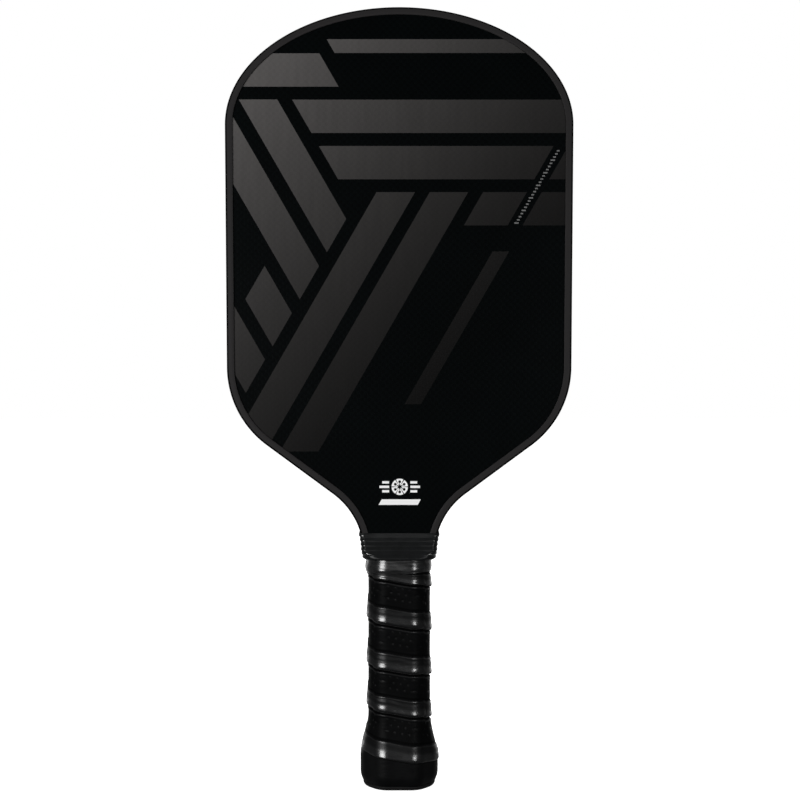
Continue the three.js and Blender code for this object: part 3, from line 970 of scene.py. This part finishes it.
def inner_sleeve(points, bottom, top):
    """Closes the grip on the inside, from the outer skin's bottom edge up to its top edge."""
    faces = []
    heights = [GRIP_BOTTOM, HEEL_Z, FLARE_FULL, 24, 31, FLARE_TOP, GRIP_TOP]
    rings = []
    for z in heights:
        inside = section(flare_at(z) - GRIP_T)
        ring = []
        for m in range(-COLUMNS, 0):
            point = inside[winding_column(m)][0]
            points.append((point.x, point.y, z))
            ring.append(len(points) - 1)
        rings.append(ring)
    shift = (TURN_STEPS - COLUMNS + 1) % COLUMNS
    top = [top[(i - shift) % COLUMNS] for i in range(COLUMNS)]
    walls = [bottom, *rings, top]
    for low, high in zip(walls, walls[1:]):
        for j in range(COLUMNS):
            k = (j + 1) % COLUMNS
            faces.append((low[j], high[j], high[k], low[k]))
    return faces


cushion_grip()

# ---- finishing tape

TAPE_ROWS = 16
TAPE_T = 0.2
TAPE_BELLY = 0.45
TAPE_WRINKLE = 0.3
TAPE_LIFT = 0.1
BRIDGE = (-2, -1, 0, 1, 2)  # heights above and below a point whose highest surface carries the tape
BRIDGE_ROWS = 3
BRIDGE_COLUMNS = 6


def surface_height(column, z):
    """The height of the wound strip's surface at a column of the section."""
    m = (START_COLUMN - column) % COLUMNS
    while m + COLUMNS <= TURN_STEPS and helix_height(m + COLUMNS) <= z:
        m += COLUMNS
    low, high = strip_edges(m)
    above = share(z, low, high) * PITCH_WANTED
    return curve_through(RELIEF, above)


def draped(heights, reach):
    """Heights round a ring, bridged over their hollows and smoothed as a stretched film would."""
    count = len(heights)
    near = range(-reach, reach + 1)
    raised = [max(heights[(i + k) % count] for k in near) for i in range(count)]
    for _ in range(2):
        raised = [sum(raised[(i + k) % count] for k in near) / len(near) for i in range(count)]
    return raised


def tape_edge(turn):
    """The height of the tape's wavy lower edge."""
    wave = 0.45 * math.sin(2 * math.pi * (turn + 0.1))
    return tape_low[2] + 0.9 + wave + 0.5 * noise.noise(Vector((turn * 14, 2, 5)))


def finishing_tape():
    outer = []
    inner = []
    shares = [row / TAPE_ROWS for row in range(TAPE_ROWS + 1)]
    levels = [[lerp(tape_edge(c / COLUMNS), tape_high[2], t) for c in range(COLUMNS)] for t in shares]
    bumps = [
        [max(surface_height(c, z + off) for off in BRIDGE) for c, z in enumerate(level)]
        for level in levels
    ]
    for row, (t, heights) in enumerate(zip(shares, levels)):
        near = bumps[max(0, row - BRIDGE_ROWS) : row + BRIDGE_ROWS + 1]
        below = [sum(column) / len(near) for column in zip(*near)]
        belly = TAPE_BELLY * (smooth(share(t, 0.0, 0.25)) - 0.5 * smooth(share(t, 0.3, 1.0)))
        outer_ring = []
        inner_ring = []
        for column, (z, under) in enumerate(zip(heights, draped(below, BRIDGE_COLUMNS))):
            where = Vector((column / COLUMNS * 9 + t * 1.4, z * 0.2, 3))
            wrinkle = TAPE_WRINKLE * abs(noise.noise(where))
            point, normal, _ = section_cache(z)[column]
            base = point + normal * (under + TAPE_LIFT + wrinkle + belly)
            inner_ring.append((*base, z))
            outer_ring.append((*(base + normal * TAPE_T), z))
        outer.append(outer_ring)
        inner.append(inner_ring)
    points, faces = loft(outer + inner[::-1], closed=True)
    piece = mesh_piece("finishing_tape_wrap", points, faces, TAPE, sharp_angle=60)
    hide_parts("finishing_tape")


finishing_tape()

# ---- collar

COLLAR_BOTTOM = collar_low[2]
COLLAR_TOP = collar_high[2]
COLLAR_WALL = 0.5
COLLAR_BEAD = 1.2
COLLAR_RIBS = 6
RIB = 0.45
RIB_FRONT = 0.2  # share of a rib's height that is left across the front and back
RIB_PEAK = 0.35  # where a rib is highest, as a share of its own height
COLLAR_TUCK = 0.8
COLLAR_FIT = 0.7  # room for the tape and the laps under the collar
COLLAR_CORNER = (7, 1.5)  # corner radius at the bottom and over the guard
RIB_ROWS = 9
CORNER_FINE = 10
FLAT_FINE = 12


def rounded_box(a, b, radius):
    """Points and outward normals round a rectangle with round corners, counterclockwise from above."""
    ring = []
    for corner, (sx, sy) in enumerate(((1, 1), (-1, 1), (-1, -1), (1, -1))):
        for i in range(CORNER_FINE + 1):
            angle = (corner + i / CORNER_FINE) * math.pi / 2
            way = Vector((math.cos(angle), math.sin(angle)))
            ring.append((Vector((sx * (a - radius), sy * (b - radius))) + way * radius, way))
        nx, ny = ((-1, 1), (-1, -1), (1, -1), (1, 1))[corner]
        following = Vector((nx * (a - radius), ny * (b - radius))) + way * radius
        last = ring[-1][0]
        ring += [(last.lerp(following, i / FLAT_FINE), way) for i in range(1, FLAT_FINE)]
    return ring


def collar_ring(z, out, shine, rib=0.0):
    """A rectangle with round corners: flat and wide over the throat, deeper and rounder over the grip.

    shine gets each point's shininess, which is highest on the ribs' corners.
    """
    up = share(z, COLLAR_BOTTOM, COLLAR_TOP)
    over_guard = smooth(share(z, COLLAR_BOTTOM, GUARD_END - 0.5))
    throat = THROAT.x - math.sqrt(THROAT_R**2 - (z - THROAT_Z) ** 2)
    a = lerp(GRIP_HALF_X + COLLAR_FIT, throat + GAP, over_guard)
    b = lerp(GRIP_HALF_Y + COLLAR_FIT, GUARD_HALF + GAP, smooth(up))
    on_rib = share(rib, 0.1 * RIB, 0.5 * RIB) * share(z, COLLAR_BOTTOM + 1.6, COLLAR_BOTTOM + 3)
    ring = []
    for point, way in rounded_box(a + out, b + out, lerp(*COLLAR_CORNER, over_guard) + 2 * out):
        swell = rib * lerp(RIB_FRONT, 1.0, smooth(share(abs(point.x), 0.62 * a, 0.92 * a)))
        ring.append((*(point + way * swell), z))
        corner = min(1.0, 4 * abs(way.x * way.y))
        shine.append(smooth(corner) * on_rib)
    return ring


def grip_collar():
    outside = []
    shine = []
    rows = COLLAR_RIBS * RIB_ROWS
    for row in range(rows + 1):
        z = lerp(COLLAR_BOTTOM, COLLAR_TOP, row / rows)
        bead = COLLAR_BEAD * (1 - smooth(share(z, COLLAR_BOTTOM, GUARD_END - 0.5)))
        bead -= COLLAR_TUCK * (1 - share(z, COLLAR_BOTTOM, COLLAR_BOTTOM + 1)) ** 2
        up_rib = (row % RIB_ROWS) / RIB_ROWS
        swell = smooth(share(up_rib, 0.0, RIB_PEAK)) * (1 - share(up_rib, RIB_PEAK, 1.0) ** 2)
        outside.append(collar_ring(z, COLLAR_WALL + bead, shine, RIB * swell))
    inside = [collar_ring(lerp(COLLAR_TOP, COLLAR_BOTTOM, i / 12), 0.0, shine) for i in range(13)]
    points, faces = loft(outside + inside, closed=True)
    crests = {"crest": shine}
    piece = mesh_piece("grip_collar_ribbed", points, faces, COLLAR, sharp_angle=60, attributes=crests)
    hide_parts("grip_collar")


grip_collar()

# ---- butt cap and badge

CAP_EDGE = 2.0
CAP_RIM_INSET = 0.2
CAP_FLOOR = 5
BADGE_R = badge_high[0]
BADGE_RECESS = badge_high[2]
BADGE_DIMPLES = 6
DIMPLE_PLACE = 5.4
DIMPLE = 0.2


def circle_at(radius, z):
    """A circle with its points in the same directions as the section's."""
    ring = []
    for p, _, _ in section(0):
        way = p.normalized()
        ring.append((way.x * radius, way.y * radius, z))
    return ring


def butt_cap():
    rim = flare_at(GRIP_BOTTOM) - CAP_RIM_INSET
    recess = BADGE_R + GAP
    bare = -(GRIP_T + GAP)
    rings = [circle_at(r, BADGE_RECESS) for r in (0.2, recess * 0.5, recess)]
    rings += [circle_at(recess, 0.3), circle_at(recess + 0.09, 0.09), circle_at(recess + 0.3, 0.0)]
    steps = 7
    for i in range(steps + 1):
        angle = math.pi / 2 * i / steps
        rings.append(ring_at(rim - CAP_EDGE * (1 - math.sin(angle)), CAP_EDGE * (1 - math.cos(angle))))
    rings.append(ring_at(rim, GRIP_BOTTOM - GAP))
    for i in range(9):
        z = lerp(GRIP_BOTTOM - GAP, cap_high[2], i / 8)
        rings.append(ring_at(flare_at(z) + bare, z))
    rings += [ring_at(bare + GAP, cap_high[2]), ring_at(bare + GAP, CAP_FLOOR)]
    rings.append(circle_at(0.2, CAP_FLOOR))
    points, faces = loft(rings)
    piece = mesh_piece("butt_cap_moulding", points, faces, CAP, sharp_angle=35)
    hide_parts("butt_cap")


def dimple(away):
    """The depth of a dimple at a distance from its middle."""
    return DIMPLE * (1 - smooth(share(away, 0.5, 1.5)))


def badge_height(radius, angle):
    """The badge's relief: a rim, a shallow dome inside a groove, and a ring of dimples round one more."""
    t = radius / BADGE_R
    height = 0.16 * (1 - t * t) + 0.14 * bump_between(t, 0.88, 0.96, 0.03)
    height -= 0.16 * bump_between(t, 0.8, 0.83, 0.03)
    here = polar(angle, radius, Vector((0, 0)))
    for i in range(BADGE_DIMPLES):
        centre = polar(2 * math.pi * i / BADGE_DIMPLES, DIMPLE_PLACE, Vector((0, 0)))
        height -= dimple((here - centre).length)
    return height - dimple(radius)


def butt_badge():
    around = 96
    base = badge_low[2]
    radii = [0.05 + (BADGE_R - 0.35) * i / 40 for i in range(41)]
    rings = []
    for r in radii:
        ring = []
        for i in range(around):
            angle = 2 * math.pi * i / around
            z = base + 0.25 - badge_height(r, angle)
            ring.append((r * math.cos(angle), r * math.sin(angle), z))
        rings.append(ring)
    for inset, z in ((0.1, base + 0.3), (0.0, base + 0.45), (0.0, BADGE_RECESS)):
        ring = []
        for i in range(around):
            angle = 2 * math.pi * i / around
            ring.append(((BADGE_R - inset) * math.cos(angle), (BADGE_R - inset) * math.sin(angle), z))
        rings.append(ring)
    points, faces = loft(rings)
    piece = mesh_piece("butt_badge_disc", points, faces, BADGE, sharp_angle=50)
    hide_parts("butt_badge")


butt_cap()
butt_badge()

# ---- the CAD nodes that stay


def repaint(node, material):
    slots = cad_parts[node].data.materials
    slots.clear()
    slots.append(material)


repaint("front_face_sheet", CARBON)
repaint("back_face_sheet", CARBON)
scrim = scrim_material()
for film in ("front_scrim_film", "back_scrim_film"):
    repaint(film, scrim)
repaint("honeycomb_core", comb_material())
for foam in ("perimeter_foam", "tang_insert"):
    repaint(foam, RIM_FOAM)
for shell in ("front_handle_shell", "back_handle_shell"):
    repaint(shell, SHELL_FOAM)
steel = steel_material()
for staple in ("butt_staple_left", "butt_staple_right", "grip_start_staple"):
    repaint(staple, steel)

# ---- floor, light and camera

FLOOR_HALF = 12.0
VIEW_DISTANCE = 0.65
VIEW_HEIGHT = 0.20797
VIEW_ASIDE = 0.00045
VIEW_LENS = 53.68
HEAD_MIDDLE = Vector((0, 0, 0.22))
WORLD_FRONT = 0.05
WORLD_BACK = 0.22


def floor():
    """A pale floor that can be seen through from below, where it would hide the butt."""
    mesh = bpy.data.meshes.new("floor")
    corners = [(x * FLOOR_HALF, y * FLOOR_HALF, 0) for x, y in ((-1, -1), (1, -1), (1, 1), (-1, 1))]
    mesh.from_pydata(corners, [], [(0, 1, 2, 3)])
    m = Shading("floor_white", Specular_IOR_Level=0.0, Roughness=1.0, Emission_Strength=0.96)
    mottle = m.noise(0.004, detail=2.0)
    from_below = m.node("NewGeometry", {}, output="Backfacing")
    solid = m.math("SUBTRACT", 1.0, from_below)
    shade = m.tone(m.range(mottle, 0.3, 0.7, 0.76, 0.8))
    m.finish(Base_Color=shade, Emission_Color=rgba(1, 1, 1), Alpha=solid)
    mesh.materials.append(m.material)
    ground = bpy.data.objects.new("floor", mesh)
    bpy.context.scene.collection.objects.link(ground)
    ground.visible_diffuse = False
    ground.visible_glossy = False


def softbox(name, azimuth, elevation, distance, width, height, watts):
    """An area light that faces the head. Azimuth 0 is in front, and positive is to the right."""
    data = bpy.data.lights.new(name, "AREA")
    data.shape = "RECTANGLE"
    data.size = width
    data.size_y = height
    data.energy = watts
    light = bpy.data.objects.new(name, data)
    a = math.radians(azimuth)
    e = math.radians(elevation)
    way = Vector((math.sin(a) * math.cos(e), -math.cos(a) * math.cos(e), math.sin(e)))
    light.location = HEAD_MIDDLE + way * distance
    light.rotation_euler = way.to_track_quat("Z", "Y").to_euler()
    light.visible_camera = False
    bpy.context.scene.collection.objects.link(light)


def sky_light():
    data = bpy.data.lights.new("overhead", "SUN")
    data.energy = 0.3
    data.angle = math.radians(50)
    light = bpy.data.objects.new("overhead", data)
    light.rotation_euler = (math.radians(8), 0, 0)
    bpy.context.scene.collection.objects.link(light)


def white_world():
    """White where the camera sees it, and dim as a light."""
    world = bpy.data.worlds.new("studio")
    bpy.context.scene.world = world
    world.use_nodes = True
    tree = world.node_tree
    background = tree.nodes["Background"]
    background.inputs["Color"].default_value = rgba(1, 1, 1)
    where = tree.nodes.new("ShaderNodeTexCoord")
    split = tree.nodes.new("ShaderNodeSeparateXYZ")
    tree.links.new(where.outputs["Generated"], split.inputs[0])
    behind = tree.nodes.new("ShaderNodeMapRange")
    behind.interpolation_type = "SMOOTHSTEP"
    limits = {"From Min": 0.0, "From Max": 0.4, "To Min": WORLD_FRONT, "To Max": WORLD_BACK}
    for socket, value in limits.items():
        behind.inputs[socket].default_value = value
    tree.links.new(split.outputs["Y"], behind.inputs["Value"])
    path = tree.nodes.new("ShaderNodeLightPath")
    seen = tree.nodes.new("ShaderNodeMapRange")
    tree.links.new(path.outputs["Is Camera Ray"], seen.inputs["Value"])
    tree.links.new(behind.outputs[0], seen.inputs["To Min"])
    tree.links.new(seen.outputs[0], background.inputs["Strength"])


def camera():
    data = bpy.data.cameras.new("camera")
    data.lens = VIEW_LENS
    data.sensor_width = 36
    data.clip_start = 0.01
    view = bpy.data.objects.new("camera", data)
    view.location = (VIEW_ASIDE, -VIEW_DISTANCE, VIEW_HEIGHT)
    view.rotation_euler = (math.radians(90), 0, 0)
    bpy.context.scene.collection.objects.link(view)
    bpy.context.scene.camera = view


floor()
softbox("key_left", -34, 2, 1.3, 0.6, 0.5, 12.5)
softbox("key_right", 26, 2, 1.3, 0.22, 0.4, 4.5)
softbox("wall_left", -143, 0, 1.3, 0.6, 0.9, 1.9)
softbox("wall_right", 143, 0, 1.3, 0.6, 0.9, 1.9)
softbox("back_left", -155, 55, 1.3, 0.5, 0.3, 7.0)
softbox("back_right", 150, 50, 1.3, 0.4, 0.3, 5.0)
sky_light()
white_world()
camera()
bpy.context.scene.view_settings.view_transform = "Standard"
